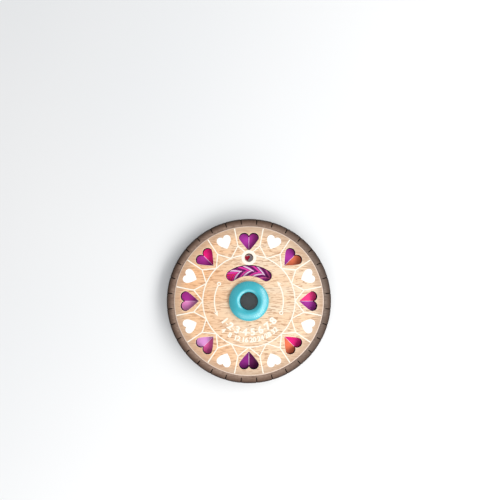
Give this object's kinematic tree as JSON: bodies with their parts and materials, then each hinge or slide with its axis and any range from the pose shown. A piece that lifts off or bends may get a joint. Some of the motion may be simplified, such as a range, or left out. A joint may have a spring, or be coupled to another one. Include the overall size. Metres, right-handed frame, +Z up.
{
  "type": "bracelet braiding dial",
  "caption": "Round wooden braiding dial: slotted rim, heart and arc windows over a pattern disc that turns with the raised hub collar round an open centre bore.",
  "frame": {"origin": "middle of the back face, where the dial rests", "axes": "+Z up the hub axis, out of the printed face; +Y towards the round window and the arc window; +X to the right as seen from the front"},
  "size_m": [0.108, 0.108, 0.0151],
  "materials": {
    "rim_wood": "grey-brown stained hardwood, satin, darker towards the rim's edge",
    "face_wood": "pale beech with fine flecks, charred laser-cut window walls, creamy white printed lines and hearts",
    "back_wood": "plain pale beech, sanded",
    "inner_ply": "thin plywood, unfinished",
    "card_print": "laminated card printed in purple, magenta, orchid and orange",
    "hub_plastic": "glossy teal moulded plastic",
    "sleeve_plastic": "dark brown moulded plastic, satin",
    "felt": "dark grey wool felt",
    "nylon": "natural white nylon",
    "spring_steel": "spring steel, wavy washer",
    "screw_brass": "brass countersunk wood screws with a cross recess"
  },
  "bodies": {
    "dial": {"slotted_wheel": "rim_wood", "face_plate": "face_wood", "back_plate": "back_wood", "felt_ring": "felt", "slip_washer": "nylon", "wave_washer": "spring_steel", "plate_screw_1": "screw_brass", "plate_screw_2": "screw_brass", "plate_screw_3": "screw_brass", "plate_screw_4": "screw_brass", "plate_screw_5": "screw_brass", "plate_screw_6": "screw_brass", "plate_screw_7": "screw_brass", "plate_screw_8": "screw_brass"},
    "pattern": {"carrier_disc": "inner_ply", "pattern_card": "card_print", "hub_collar": "hub_plastic", "hub_sleeve": "sleeve_plastic"}
  },
  "joints": [
    {"name": "pattern_spin", "type": "hinge", "parent": "dial", "child": "pattern", "pos_m": [0, 0, 0.0063], "axis": [0, 0, 1], "continuous": true}
  ]
}
